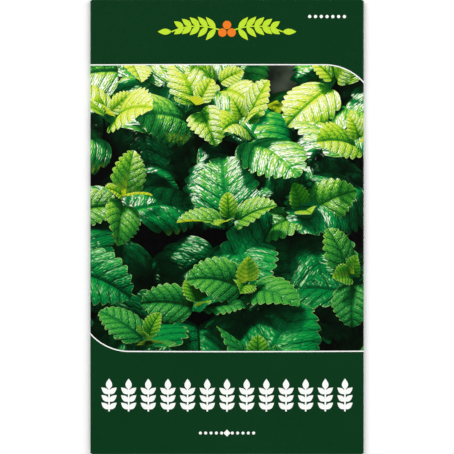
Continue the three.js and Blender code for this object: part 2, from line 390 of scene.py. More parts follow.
def leaf(base, ahead, pitch, length, youth, rng):
    """A leaf as the values that its two halves share."""
    half_width = length * rng.uniform(0.38, 0.46)
    return {
        "base": base,
        "ahead": ahead,
        "side": np.cross(ahead, UP),
        "length": length,
        "half_width": half_width,
        "pitch": pitch,
        "bend": rng.uniform(0.7, 1.5) * (1 - 0.4 * youth),
        "roll": rng.normal(0, 0.25),
        "twist": rng.normal(0, 0.3),
        "slopes": rng.uniform(0.1, 0.55, 2) + 0.3 * youth,
        "arch": rng.uniform(0.6, 1.3) / half_width,
        "ripple": rng.uniform(0.02, 0.08),
        "tooth": 0.06 * length + 0.15,
        "youth": youth,
    }


# Pairs of leaves down a shoot: how far below its tip, leaf length, pitch in degrees, and youth.
PAIRS = (
    (0.0, 9.0, 66, 1.0),
    (2.5, 18.0, 46, 0.6),
    (9.0, 28.5, 24, 0.2),
    (18.0, 35.0, 6, 0.0),
)
ROWS, COLUMNS, SHOOT_SPACING, STRAY = 9, 7, 32.0, 0.35


def shoots(rng):
    """The half leaves of a bed of shoots, each with its leaves in crossed pairs."""
    halves = []
    for row, column in np.ndindex(ROWS, COLUMNS):
        aside = (column - COLUMNS // 2 + (row % 2) / 2 + rng.uniform(-STRAY, STRAY)) * SHOOT_SPACING
        away = (row - ROWS // 2 + rng.uniform(-STRAY, STRAY)) * SHOOT_SPACING
        tip = [0, PICTURE_MIDDLE, 0] + aside * ASIDE + away * AWAY + rng.uniform(-10, 6) * UP
        azimuth, size = rng.uniform(0, math.pi), rng.uniform(0.8, 1.15)
        lean, lean_way = rng.uniform(0, 0.5), rng.uniform(0, 2 * math.pi)
        for drop, length, pitch, youth in PAIRS:
            azimuth += math.pi / 2 + rng.normal(0, 0.25)
            for turn in (0, math.pi):
                way = azimuth + turn + rng.normal(0, 0.2)
                base = tip - drop * size * UP + bearing(way) * 0.12 * length
                tilt = math.radians(pitch) + lean * math.cos(way - lean_way) + rng.normal(0, 0.2)
                grown = leaf(base, bearing(way), tilt, length * size * rng.uniform(0.9, 1.1), youth, rng)
                halves += [HalfLeaf(grown, hand) for hand in (-1, 1)]
    return halves


def topmost(faces, points):
    """Which of the half leaves' faces shows at each point of the picture, or -1, and its depth there."""
    owner, depth = np.full(len(points), -1), np.full(len(points), -np.inf)
    for k, (half, over) in enumerate(faces):
        near = np.flatnonzero(((points > half.low) & (points < half.high)).all(1))
        if len(near) and over in half.starts_over:
            _, _, at, covered = half.find(points[near], over)
            nearer = covered & (at[:, 2] > depth[near])
            owner[near[nearer]] = k
            depth[near[nearer]] = at[nearer, 2]
    return owner, depth


def visibility(points, direction, blockers, cell, bias, softness):
    """How much light from a direction reaches points past the blockers, from 0 to 1."""
    right = unit(np.cross(direction, [0.3, 0.1, 1.0]))
    axes = columns(right, np.cross(direction, right))
    at, blocked = points @ axes / cell, blockers @ axes / cell
    low = np.minimum(at.min(0), blocked.min(0)) - 2
    nearest_light = np.full((np.maximum(at.max(0), blocked.max(0)) - low + 3).astype(int), -np.inf)
    np.maximum.at(nearest_light, tuple((blocked - low).astype(int).T), blockers @ direction)
    i, j = (at - low).astype(int).T
    around = [nearest_light[i + di, j + dj] for di in (-1, 0, 1) for dj in (-1, 0, 1)]
    return np.mean(1 - smoothstep(bias, bias + softness, around - points @ direction), 0)


BLOCKERS = (56, 18)  # points along and across each half leaf that cast shadows
SKY_WAYS = 10
SKY_SHADOW, SUN_SHADOW = (1.0, 0.8, 3.0), (0.5, 0.6, 1.2)  # cell, bias and softness


def light_on(points, halves):
    """Sunlight and skylight at points among the leaves."""
    u, m = (grid.ravel() for grid in np.meshgrid(*(np.linspace(0, 1, count) for count in BLOCKERS)))
    blockers = np.concatenate([half.place(u, m * half.reach(u)) for half in halves])
    sky = np.zeros(len(points))
    for k in range(SKY_WAYS):
        height = 0.35 + 0.6 * (k + 0.5) / SKY_WAYS
        golden = k * math.pi * (3 - math.sqrt(5))
        direction = unit(height * UP + math.sqrt(1 - height**2) * bearing(golden))
        sky += visibility(points, direction, blockers[::3], *SKY_SHADOW) / SKY_WAYS
    return visibility(points, SUN, blockers, *SUN_SHADOW), sky


# ---- The print on the front ----

# Every ink is a material of the sheet. What no shape covers is the dark green field.
INKS = ("field", "leaves", "shade", "white", "lime", "orange", "pale", "core")
INK = {name: index for index, name in enumerate(INKS)}

BLEED = 1.5  # how far past the side folds the picture runs
WINDOW_X = PANEL_X + max(LEFT_ARC, RIGHT_ARC) + BLEED
UPRIGHT, SPREAD = math.pi / 2, math.radians(50)  # how printed sprigs stand, and how their leaves spread
FRIEZE_X, FRIEZE_LOW, FRIEZE_HIGH, SPRIGS = 42.0, -60.6, -49.8, 13
CREST_Y, CREST_X = 64.8, 21.8
BERRIES = ((-1.5, -0.9), (1.5, -0.9), (0.0, 1.6))
DOTS_X, DOTS_Y, LOZENGE_Y = 27.2, 69.2, -67.7


def keylines():
    """The window's upper and lower edge. Each turns a round corner on its way to one side fold."""
    end = math.acos((WINDOW_X - ROUND_START) / PICTURE_ROUND)
    corner = arc(ROUND_START, PICTURE_TOP - PICTURE_ROUND, PICTURE_ROUND, math.pi / 2, end - math.pi / 2)
    upper = np.concatenate([[[-WINDOW_X, PICTURE_TOP]], corner])
    return upper, [0, 2 * PICTURE_MIDDLE] - upper


def window():
    return np.concatenate([line[::-1] for line in keylines()])


def frieze():
    """A row of upright sprigs in white, each a stalk with paired leaves and one at its tip."""
    shapes = []
    pitch, tall = 2 * FRIEZE_X / SPRIGS, FRIEZE_HIGH - FRIEZE_LOW
    for k in range(SPRIGS):
        x = -FRIEZE_X + (k + 0.5) * pitch
        shapes.append((ribbon([[x, FRIEZE_LOW], [x, FRIEZE_LOW + 0.75 * tall]], 0.55), "white"))
        for level in (0, 1, 2):
            y = FRIEZE_LOW + tall * (0.07 + 0.23 * level)
            shapes += leaf_pair(x, y, 3.3, 1.75, UPRIGHT, SPREAD, "white")
        shapes.append((leaf_shape(x, FRIEZE_HIGH - 3.6, 3.6, 2.1, UPRIGHT), "white"))
    return shapes


def crest():
    """Two leafy twigs that arch away from three berries."""
    shapes = []
    t = np.linspace(0, 1, 25)
    for side, heading in ((-1, math.pi), (1, 0)):
        stalk = columns(side * (2.4 + (CREST_X - 6) * t), CREST_Y + 1.2 - 6.0 * (t - 0.45) ** 2)
        shapes.append((ribbon(stalk, 0.45), "lime"))
        for k in range(5):
            spread = -side * math.radians(50 - 4 * k)
            shapes += leaf_pair(*stalk[2 + 4 * k], 5.0 - 0.3 * k, 1.9, heading, spread, "lime")
        shapes.append((leaf_shape(*stalk[-1], 4.6, 2.0, heading), "lime"))
    return shapes + [(circle(x, CREST_Y + y, 1.4), "orange") for x, y in BERRIES]


def marks():
    """A short row of dots at the upper right, and a small lozenge between dots under the frieze."""
    shapes = [circle(DOTS_X + 1.9 * k, DOTS_Y, 0.55, 12) for k in range(7)]
    shapes += [circle(1.75 * k, LOZENGE_Y, *((0.5, 12) if k else (1.15, 4))) for k in range(-5, 6)]
    return [(shape, "white") for shape in shapes]


def front_shapes():
    """The front's print, as pairs of an outline and its ink, the lowest first."""
    lines = [(ribbon(line, KEYLINE), "white") for line in keylines()]
    return [(window(), "leaves")] + lines + frieze() + crest() + marks()


# ---- The print on the back ----

BACK_RIGHT = -PANEL_X - LEFT_ARC  # the back panel's edges in the flat sheet
BACK_LEFT = BACK_RIGHT - (2 * PANEL_X - BACK_INSET)
BACK_MIDDLE = BACK_RIGHT - PANEL_X
CARD_X, CARD_LOW, CARD_HIGH = 37.0, -56.0, 51.0  # half the pale card's width, and its ends
CARD_MARGIN = 4.0  # from the card's sides to what is printed on it
BAR, BAR_PITCH = 0.8, 2.7
SIGN_RADIUS, SIGN_PITCH = 5.6, 17.0
SUN_RAY = np.array([2.5, 4.0])  # from and to this far from the sun's middle
MONTH_INKS = ["white"] * 2 + ["lime"] * 3 + ["orange"] * 5 + ["white"] * 2  # lime to sow, orange to pick


def bars(left, top, width, lines, rng):
    """Plain bars in place of lines of text. The last one is short."""
    shapes = []
    for k in range(lines):
        long = width * (rng.uniform(0.4, 0.6) if k == lines - 1 else rng.uniform(0.9, 1.0))
        y = top - k * BAR_PITCH
        shapes.append((rectangle(left, y - BAR, left + long, y), "field"))
    return shapes


def calendar(left, bottom, width, height):
    """Twelve cells for the months."""
    shapes = []
    for month, ink in enumerate(MONTH_INKS):
        x = left + width * month / 12
        shapes.append((rectangle(x + 0.3, bottom, x + width / 12 - 0.3, bottom + height), ink))
    return shapes


def signs(y):
    """Four round signs: the sun, a drop of water, a seedling and the space between two plants."""
    sun, drop, seedling, space = places = BACK_MIDDLE + SIGN_PITCH * np.array([-1.5, -0.5, 0.5, 1.5])
    shapes = [(circle(x, y, SIGN_RADIUS, 32), "field") for x in places]
    shapes.append((circle(sun, y, 1.9), "orange"))
    for k in range(8):
        turn = k * math.pi / 4
        ray = columns(sun + SUN_RAY * math.cos(turn), y + SUN_RAY * math.sin(turn))
        shapes.append((ribbon(ray, 0.5), "orange"))
    shapes += [
        (circle(drop, y - 0.9, 2.2), "white"),
        (np.array([[drop - 2.1, y - 0.4], [drop + 2.1, y - 0.4], [drop, y + 3.6]]), "white"),
        (ribbon([[seedling, y - 3.2], [seedling, y + 0.4]], 0.5), "white"),
    ]
    for side in (-1, 1):
        shapes.append((leaf_shape(seedling, y - 0.2, 3.6, 1.9, UPRIGHT - side * SPREAD), "lime"))
        shapes.append((circle(space + side * 2.9, y, 0.95, 16), "lime"))
    return shapes + [(rectangle(space - 1.5, y - 0.2, space + 1.5, y + 0.2), "white")]


def back_shapes(rng):
    """The back's print, from its top to its bottom. The flaps cover its two ends."""
    left, width = BACK_MIDDLE - CARD_X + CARD_MARGIN, 2 * (CARD_X - CARD_MARGIN)

    def heading(low, high, long):
        return [(rectangle(left, low, left + long, high), "field")]

    def text(top, lines, start=0.0, share=1.0):
        return bars(left + width * start, top, width * share, lines, rng)

    return (
        [(rectangle(BACK_MIDDLE - CARD_X, CARD_LOW, BACK_MIDDLE + CARD_X, CARD_HIGH), "pale")]
        + heading(CARD_HIGH - 7.6, CARD_HIGH - 4.4, 30)
        + text(CARD_HIGH - 11.5, 7)
        + signs(11.5)
        + heading(0.4, 2.2, 19)
        + calendar(left, -5.6, width, 3.6)
        + text(-10.0, 6)
        + heading(-29.4, -27.6, 24)
        + text(-32.0, 7, 0.0, 0.46)
        + text(-32.0, 7, 0.54, 0.46)
    )


# ---- The sheet's triangles ----

FOLD_STEPS = 6
LEAF_SPACING, PLAIN_SPACING, INNER_SPACING = 0.5, 2.6, 3.4  # of points in the picture, elsewhere and inside
OUTLINE_STEP, FOLD_LINE_STEP = 2.0, 1.5
PICTURE_MARGIN = 2
COVER_CELL = 0.8  # of the coarse grid that tells which leaves show


def sheet_outline():
    """The cut edge of the flat sheet, anticlockwise from the side flap's lower corner."""
    side, end, tip = PANEL_X + RIGHT_ARC + SIDE_FLAP, PANEL_Y + END_ARC, PANEL_X - FLAP_TAPER
    upper, lower = (
        np.array([
            [side, PANEL_Y], [PANEL_X, PANEL_Y], [PANEL_X, end], [tip, end + flap],
            [-tip, end + flap], [-PANEL_X, end], [-PANEL_X, PANEL_Y], [BACK_LEFT, PANEL_Y],
        ])
        for flap in (TOP_FLAP, BOTTOM_FLAP)
    )
    corners = np.concatenate([upper, lower[::-1] * [1, -1]])
    return divided_loop(np.roll(corners, 1, 0), OUTLINE_STEP)


def fold_lines():
    """Lines along the folds, close enough for their round section."""
    for k in range(FOLD_STEPS + 1):
        for x in (PANEL_X + RIGHT_ARC * k / FOLD_STEPS, -PANEL_X - LEFT_ARC * k / FOLD_STEPS):
            yield divided([x, -PANEL_Y], [x, PANEL_Y], FOLD_LINE_STEP, end=True)
        end = PANEL_Y + END_ARC * k / FOLD_STEPS
        for y in (-end, end):
            yield divided([-PANEL_X, y], [PANEL_X, y], FOLD_LINE_STEP, end=True)


class Drawing:
    """Points and edges on the flat sheet that its triangles have to keep."""

    def __init__(self):
        self.points, self.edges, self.size = [], [], 0

    def add(self, points, edges=()):
        self.points.append(points)
        self.edges.append(np.asarray(edges, int).reshape(-1, 2) + self.size)
        self.size += len(points)

    def loop(self, corners):
        """A closed outline, with points close enough together to follow the sheet's curve."""
        points = divided_loop(corners, OUTLINE_STEP)
        self.add(points, ring(len(points)))

    def triangles(self, outline):
        """The flat points, and the triangles inside the outline, anticlockwise."""
        points = [Vector(point) for point in np.concatenate(self.points).tolist()]
        found = delaunay_2d_cdt(points, np.concatenate(self.edges).tolist(), [], 0, 1e-4, False)
        flat, corners = np.array([tuple(point) for point in found[0]]), np.array(found[2])
        corners = corners[inside(flat[corners].mean(1), outline)]
        a, b, c = (flat[corners[:, k]] for k in range(3))
        clockwise = cross(b - a, c - a) < 0
        corners[clockwise] = corners[clockwise][:, ::-1]
        return flat, corners


def plain_drawing(outline, spacing, rng):
    """The sheet with its folds and nothing printed on it."""
    drawing = Drawing()
    drawing.loop(outline)
    for line in fold_lines():
        drawing.add(line, ring(len(line))[:-1])
    drawing.add(filler(outline, spacing, rng))
    return drawing


def shown(halves):
    """The faces of half leaves that show in the window, each a half leaf and whether its upper side is
    meant, and the half leaves' outlines and turning lines as points and edges where they aren't covered."""
    low = np.array([-WINDOW_X, PICTURE_BOTTOM]) - COVER_CELL
    high = np.array([WINDOW_X, PICTURE_TOP]) + 2 * COVER_CELL
    x, y = np.meshgrid(*(np.arange(*ends, COVER_CELL) for ends in zip(low, high)), indexing="ij")
    faces = [(half, over) for half in halves for over in (True, False)]
    owner, depth = topmost(faces, columns(x.ravel(), y.ravel()))
    seen = np.unique(owner[owner >= 0] // 2)
    depth = np.pad(depth.reshape(x.shape), 1, constant_values=np.inf)
    edges = []
    for line, ends in (line for k in seen for line in halves[k].lines):
        i, j = np.clip(((line[:, :2] - low) / COVER_CELL).astype(int) + 1, 0, np.array(x.shape) - 1).T
        cover = np.min([depth[i + di, j + dj] for di in (0, 1) for dj in (0, 1)], 0)
        clear = cover < line[:, 2] + 1
        edges.append((line[:, :2], ends[clear[ends].any(1)]))
    return [(halves[k], over) for k in seen for over in (True, False)], edges


def picture_drawing(drawing, edges, rng):
    """Adds the leaves' outlines, and points between them."""
    outline, cell = window(), 0.6 * LEAF_SPACING
    low, high = outline.min(0) - PICTURE_MARGIN, outline.max(0) + PICTURE_MARGIN
    taken = np.zeros(((high - low) / cell).astype(int) + 1, bool)

    def cells(points):
        return tuple(((points - low) / cell).astype(int).T)

    for points, ends in edges:
        used = np.unique(ends)
        used = used[((points[used] > low) & (points[used] < high)).all(1)]
        drawing.add(points, ends[np.isin(ends, used).all(1)])
        taken[cells(points[used])] = True
    points = filler(outline, LEAF_SPACING, rng, PICTURE_MARGIN)
    drawing.add(points[~taken[cells(points)]])


# ---- What the picture's material reads ----

LEAST_FACE = 0.05
PHASE_APART = 20  # between two leaves, so that their patterns differ


def leaf_values(halves, seen, flat, corners, owner):
    """Vectors at each corner of the triangles that show a leaf. leaf_place is the vein phase, the share of
    the way out from the midrib, and the distance from the edge. leaf_light is the sunlight, the skylight,
    and the leaf's youth, to which its underside adds one. leaf_normal is the face's normal, and leaf_along
    and leaf_across are the slopes over the face of leaf_place's first two values. These three are turned
    round on the underside."""
    leafy = np.flatnonzero(owner >= 0)
    pairs, back = np.unique(corners[leafy] * len(seen) + owner[leafy, None], return_inverse=True)
    vertex, whose = pairs // len(seen), pairs % len(seen)
    found, places = np.zeros((5, len(pairs), 3)), np.zeros((len(pairs), 3))
    place, light, normal, along, across = found
    for k in np.unique(whose):
        half, over = seen[k]
        here, facing = np.flatnonzero(whose == k), 1.0 if over else -1.0
        u, m, _, _ = half.find(flat[vertex[here]], over)
        places[here], by_u, by_m, _ = half.slopes_at(u, m)
        long, skew, wide = (dot(a, b)[:, None] for a, b in ((by_u, by_u), (by_u, by_m), (by_m, by_m)))
        area = np.maximum(long * wide - skew**2, LEAST_FACE)
        rise_u, rise_m = (wide * by_u - skew * by_m) / area, (long * by_m - skew * by_u) / area
        out = np.abs(m) / half.half_width
        phase_m = -VEINS * VEIN_LEAN * VEIN_CURVE * out ** (VEIN_CURVE - 1) / half.half_width
        place[here] = columns(half.vein_phase(u, m) + PHASE_APART * k, out, half.edge(u) - m)
        light[here, 2] = half.youth + (not over)
        normal[here] = unit(np.cross(by_m, by_u)) * half.hand * facing
        along[here] = (VEINS * rise_u + phase_m[:, None] * rise_m) * facing
        across[here] = rise_m / half.half_width * facing
    sun, sky = light_on(places, halves)
    depth = smoothstep(PICTURE_BOTTOM, PICTURE_TOP, flat[vertex, 1])
    light[:, 0], light[:, 1] = sun * (0.5 + 0.75 * depth**2), sky * (0.54 + 0.8 * depth**2)
    values = np.zeros((5, len(corners), 3, 3))
    values[:, leafy] = found[:, back.reshape(-1, 3)]
    names = ("leaf_place", "leaf_light", "leaf_normal", "leaf_along", "leaf_across")
    return dict(zip(names, values))


# ---- Where the sheet lies in the map that a bake fills ----

INSIDE_AT, INSIDE_SCALE = (0.64, 0.84), 0.0008  # the inner skin's corner, and a millimetre's length there
CUT_OUTER, CUT_INNER = (0.85, 0.9), (0.95, 0.85)  # where the cut edge's outer and inner corners lie


def bake_places(flat, centres):
    """Map coordinates for triangles of the outer skin, the front at the largest scale."""
    right, left, end = PANEL_X + RIGHT_ARC, PANEL_X + LEFT_ARC, PANEL_Y + END_ARC
    x, y = centres.T
    back, side = x < -left, x > right
    places = np.zeros(flat.shape)
    # A stretch, its lower left corner in the flat sheet and in the map, and a millimetre's length in the map.
    for here, corner, at, scale in (
        (~back & ~side & (np.abs(y) <= end), (-left, -end), (0.005, 0.01), 0.0063),
        (back, (BACK_LEFT, -PANEL_Y), (0.602, 0.005), 0.0044),
        (y > end, (-PANEL_X, end), (0.602, 0.67), 0.0044),
        (y < -end, (-PANEL_X, -end - BOTTOM_FLAP), (0.602, 0.765), 0.0044),
        (side, (right, -PANEL_Y), (0.602, 0.84), 0.001),
    ):
        places[here] = (flat[here] - corner) * scale + at
    return places


# ---- Meshes ----


def new_object(name, data):
    made = bpy.data.objects.new(name, data)
    bpy.context.scene.collection.objects.link(made)
    return made


def new_piece(name, positions, corners, normals=None):
    """An object with a triangle mesh, from positions in millimetres."""
    mesh = bpy.data.meshes.new(name)
    mesh.from_pydata(positions * MM, [], corners.tolist())
    mesh.polygons.foreach_set("use_smooth", np.ones(len(corners), bool))
    if normals is not None:
        mesh.normals_split_custom_set(normals.reshape(-1, 3).tolist())
    return new_object(name, mesh)


def store(piece, name, values):
    """Keeps a number for each point of a piece, or a vector for each corner of its triangles."""
    kind = ("FLOAT", "POINT") if values.ndim == 1 else ("FLOAT_VECTOR", "CORNER")
    data = piece.data.attributes.new(name, *kind).data
    data.foreach_set("value" if values.ndim == 1 else "vector", values.ravel().astype(np.float32))


def quads(a, b, c, d):
    """Four-sided faces as two triangles each."""
    return np.concatenate([columns(a, b, c), columns(a, c, d)])


def sheet_piece(name, places, normals, skins, rim):
    """A closed sheet from its skins' points, outward normals and triangles, and its cut edge's triangles."""
    positions = np.concatenate(places)
    a, b, c = (positions[rim[:, k]] for k in range(3))
    cut = np.repeat(unit(np.cross(b - a, c - a))[:, None], 3, 1)
    normals = np.concatenate([normals[0][skins[0]], normals[1][skins[1]], cut])
    return new_piece(name, positions, np.concatenate([skins[0], skins[1] + len(places[0]), rim]), normals)


def nearest(points, among):
    return np.array([((among - point) ** 2).sum(1).argmin() for point in points])


def crease_at(flat):
    """How near the outermost line of a fold a point is, from 0 to 1."""
    x, y = flat.T
    run = np.where(x > 0, RIGHT_ARC, LEFT_ARC)
    aside = np.exp(-(((np.abs(x) - PANEL_X - run / 2) / (run / 3)) ** 2))
    ahead = np.exp(-(((np.abs(y) - PANEL_Y - END_ARC / 2) / (END_ARC / 3)) ** 2))
    return np.maximum(aside, ahead)


def envelope(rng):
    """The whole folded sheet: its printed outer skin, its inner skin, and the cut edge between them."""
    halves = shoots(rng)
    seen, edges = shown(halves)
    shapes = front_shapes() + back_shapes(rng)
    outline = sheet_outline()
    drawing = plain_drawing(outline, PLAIN_SPACING, rng)
    for shape, _ in shapes:
        drawing.loop(shape)
    picture_drawing(drawing, edges, rng)
    outer_flat, outer = drawing.triangles(outline)
    inner_flat, inner = plain_drawing(outline, INNER_SPACING, rng).triangles(outline)
    inner = inner[:, ::-1]

    centres = outer_flat[outer].mean(1)
    ink, owner = np.full(len(outer), INK["field"]), np.full(len(outer), -1)
    for shape, name in shapes:
        ink[inside(centres, shape)] = INK[name]
    pictured = np.flatnonzero(ink == INK["leaves"])
    owner[pictured] = topmost(seen, centres[pictured])[0]
    ink[pictured[owner[pictured] < 0]] = INK["shade"]

    outer_at, outer_normal = fold_face(outer_flat, PAPER / 2)
    inner_at, inner_normal = fold_face(inner_flat, -PAPER / 2)
    a, b = nearest(outline, outer_flat), nearest(outline, inner_flat) + len(outer_flat)
    rim = quads(a, b, np.roll(b, -1), np.roll(a, -1))
    normals = (outer_normal, -inner_normal)
    piece = sheet_piece("envelope_sheet", (outer_at, inner_at), normals, (outer, inner), rim)
    mesh, plain = piece.data, len(inner) + len(rim)
    for name in INKS:
        mesh.materials.append(ink_material(name))
    ink = np.pad(ink, (0, plain), constant_values=INK["core"]).astype(np.int32)
    mesh.polygons.foreach_set("material_index", ink)
    for name, values in leaf_values(halves, seen, outer_flat, outer, owner).items():
        store(piece, name, np.pad(values, ((0, plain), (0, 0), (0, 0))))
    store(piece, "crease", np.pad(crease_at(outer_flat), (0, len(inner_flat))))
    places = np.concatenate([
        bake_places(outer_flat[outer], centres),
        (inner_flat[inner] - outline.min(0)) * INSIDE_SCALE + INSIDE_AT,
        np.where((rim < len(outer_flat))[..., None], CUT_OUTER, CUT_INNER),
    ])
    mesh.uv_layers.new(name="OFBake").data.foreach_set("uv", places.ravel().astype(np.float32))
    return piece


# ---- What is inside ----

SLOPE_STEP = 0.05
CREEP, FILM_SPACING, FILM_EDGE = 0.25, 2.5, 1.0
KNURL, KNURL_PITCH = 0.07, 2.0
PINKING = 1.2  # the pitch of the sachet's zigzag ends, and twice their depth
PUCKERS, CREASES = 0.35, 0.12
FINE_RIM, FINE_SPACING, COARSE_SPACING = 1.5, 0.6, 1.5  # how far past the seal its finer points reach


def shell(name, outline, height, thickness, points):
    """A thin closed sheet in an outline, whose middle layer lies at a height, with more points inside it."""
    drawing = Drawing()
    drawing.loop(outline)
    drawing.add(points)
    flat, upper = drawing.triangles(outline)
    x, y = flat.T
    slope_x = (height(x + SLOPE_STEP, y) - height(x - SLOPE_STEP, y)) / (2 * SLOPE_STEP)
    slope_y = (height(x, y + SLOPE_STEP) - height(x, y - SLOPE_STEP)) / (2 * SLOPE_STEP)
    normal = unit(columns(-slope_x, -slope_y, np.ones(len(x))))
    middle, apart = columns(x, y, height(x, y)), normal * thickness / 2
    ways = np.concatenate([upper[:, [0, 1]], upper[:, [1, 2]], upper[:, [2, 0]]])
    a, b = ways[~np.isin(ways @ [len(flat), 1], ways @ [1, len(flat)])].T
    rim = quads(b, a, a + len(flat), b + len(flat))
    places, skins = (middle + apart, middle - apart), (upper, upper[:, ::-1])
    return sheet_piece(name, places, (normal, -normal), skins, rim)


def film(name, left, bottom, right, top, above, rng):
    """A film of glue at a height above the back's outer face, whose edge has crept unevenly."""
    outline = divided_loop(rectangle(left, bottom, right, top), FILM_EDGE)
    phase = np.arange(len(outline))
    creep = CREEP * np.sin(0.9 * phase) * np.sin(0.37 * phase + rng.uniform(0, 6)) - CREEP
    middle = np.array([left + right, bottom + top]) / 2
    outline = outline + np.clip(outline - middle, -1, 1) * creep[:, None]
    points = filler(outline, FILM_SPACING, rng)
    return shell(name, outline, lambda x, y: back_outer(x, y) + above, GLUE, points)


def seam_film(rng):
    """The glue between the side flap and the back panel."""
    left, right = PANEL_X - SIDE_FLAP + GLUE_MARGIN, PANEL_X - BACK_INSET - GLUE_MARGIN
    half = PANEL_Y - SEAM_END
    return film("seam_glue_film", left, -half, right, half, PAPER + GAP / 2, rng)


def end_film(name, side, length, rng):
    """The glue between an end flap and the back panel."""
    half = PANEL_X - BACK_INSET - FLAP_TAPER - GLUE_MARGIN
    low, high = sorted(side * (PANEL_Y - inset) for inset in (GLUE_MARGIN, length - GLUE_MARGIN))
    return film(name, -half, low, half, high, -GAP / 2, rng)


def sachet_back(x, y):
    """The back web's middle layer. The seal is pressed into a pattern of small squares."""
    rim = 1 - smoothstep(SEAL - 0.6, SEAL + 0.4, sachet_inset(x, y).min(0))
    squares = np.sin(np.pi * (x + y) / KNURL_PITCH) * np.sin(np.pi * (x - y) / KNURL_PITCH)
    return back_outer(x, y) + PAPER + SACHET_LIFT + FOIL / 2 + KNURL * rim * squares


def sachet_front(x, y):
    """The front web's middle layer, which lies on the back web at the seal and swells over the seeds."""
    aside, ahead = np.clip((sachet_inset(x, y) - SEAL) / SEAL_RISE, 0, 1)
    bulge = np.sin(np.pi / 2 * aside) * np.sin(np.pi / 2 * ahead)
    side_puckers = np.sin(1.3 * y + 2 * np.sin(0.31 * y)) * (1 - aside)
    end_puckers = np.sin(1.2 * x + 2 * np.sin(0.27 * x)) * (1 - ahead)
    creases = CREASES * np.sin(0.42 * x + 1.9 * np.sin(0.2 * y)) * np.cos(0.33 * y + 1.6 * np.sin(0.25 * x))
    swell = PLUMP + PUCKERS * (side_puckers + end_puckers) * (1 - bulge) + creases
    return sachet_back(x, y) + FOIL + SEAL_GAP + swell * bulge


def web(name, height, rng):
    """One side of the sachet, with pinked ends."""
    teeth = np.arange(-SACHET_X, SACHET_X + PINKING / 4, PINKING / 2)
    notch = SACHET_Y - PINKING / 2 * (np.arange(len(teeth)) % 2)
    lower, upper = (columns(teeth, SACHET_MIDDLE + side * notch) for side in (-1, 1))
    outline = np.concatenate([lower, upper[::-1]])
    fine, coarse = filler(outline, FINE_SPACING, rng), filler(outline, COARSE_SPACING, rng)
    fine = fine[sachet_inset(*fine.T).min(0) < SEAL + FINE_RIM]
    coarse = coarse[sachet_inset(*coarse.T).min(0) >= SEAL + FINE_RIM]
    return shell(name, outline, height, FOIL, np.concatenate([fine, coarse]))


SEED_LENGTH, SEED_WIDTH, SEED_HEIGHT = 1.8, 1.0, 0.9
SEED_SIDES, SEED_RINGS = 9, 8
PILE_X, PILE_Y, PILE_MIDDLE, PILE_TOP = 6.8, 5.2, -16.0, 1.05
DROPS = 1600


def nutlet():
    """A seed along X, blunt at one end and tapered at the other, with a keel on its back."""
    t = np.linspace(0, 1, SEED_RINGS + 1)[1:-1, None]
    turn = np.arange(SEED_SIDES) * 2 * np.pi / SEED_SIDES
    girth, keel = np.sin(np.pi * t**0.8) ** 0.65, 1 - 0.12 * np.cos(3 * turn - math.pi / 2)
    y, z = SEED_WIDTH / 2 * girth * keel * np.cos(turn), SEED_HEIGHT / 2 * girth * keel * np.sin(turn)
    rings = np.stack(np.broadcast_arrays(SEED_LENGTH * (t - 0.5), y, z), 2)
    points = np.concatenate([rings.reshape(-1, 3), [[-SEED_LENGTH / 2, 0, 0], [SEED_LENGTH / 2, 0, 0]]])
    last, base = (SEED_RINGS - 2) * SEED_SIDES, len(points) - 2
    around, ahead = ring(SEED_SIDES).T
    a, b = (np.add.outer(np.arange(0, last, SEED_SIDES), near).ravel() for near in (around, ahead))
    corners = np.concatenate([
        quads(a, b, b + SEED_SIDES, a + SEED_SIDES),
        columns(ahead, around, np.full(SEED_SIDES, base)),
        columns(around + last, ahead + last, np.full(SEED_SIDES, base + 1)),
    ])
    return points, corners[:, ::-1]


def pile(rng):
    """Seeds that have dropped one by one on those below, in a low heap on the sachet's back web."""
    shape, corners = nutlet()
    radius = SEED_WIDTH / 2
    floor = PAPER + SACHET_LIFT + FOIL + SEAL_GAP + radius
    balls = np.zeros((0, 3))
    positions = []
    for _ in range(DROPS):
        out, way, turn = math.sqrt(rng.uniform()), rng.uniform(0, 2 * math.pi), rng.uniform(0, 2 * math.pi)
        at = np.array([PILE_X * out * math.cos(way), PILE_MIDDLE + PILE_Y * out * math.sin(way)])
        along = np.array([math.cos(turn), math.sin(turn)])
        own = at + np.outer([-1, 0, 1], along) * (SEED_LENGTH / 2 - radius)
        gap = ((own[:, None] - balls[None, :, :2]) ** 2).sum(2)
        rest = balls[None, :, 2] + np.sqrt(np.maximum(0, SEED_WIDTH**2 - gap))
        z = max([floor, *rest[gap < SEED_WIDTH**2]])
        if z > floor + PILE_TOP * (1 - out**3):
            continue
        balls = np.concatenate([balls, np.column_stack([own, np.full(3, z)])])
        roll = rng.uniform(0, 2 * math.pi)
        y = shape[:, 1] * math.cos(roll) - shape[:, 2] * math.sin(roll)
        up = shape[:, 1] * math.sin(roll) + shape[:, 2] * math.cos(roll)
        flat = at + shape[:, :1] * along + y[:, None] * [-along[1], along[0]]
        positions.append(np.column_stack([flat, z + up]))
    starts = np.arange(len(positions)) * len(shape)
    corners = (corners + starts[:, None, None]).reshape(-1, 3)
    piece = new_piece("nutlets", np.concatenate(positions), corners)
    store(piece, "shade", np.repeat(rng.uniform(0, 1, len(positions)), len(shape)))
    return piece


# ---- Materials ----


def srgb(red, green, blue):
    """A screen's 8-bit colour as the linear one that shaders take."""
    screen = np.array([red, green, blue]) / 255
    linear = np.where(screen <= 0.04045, screen / 12.92, ((screen + 0.055) / 1.055) ** 2.4)
    return (*linear.tolist(), 1.0)


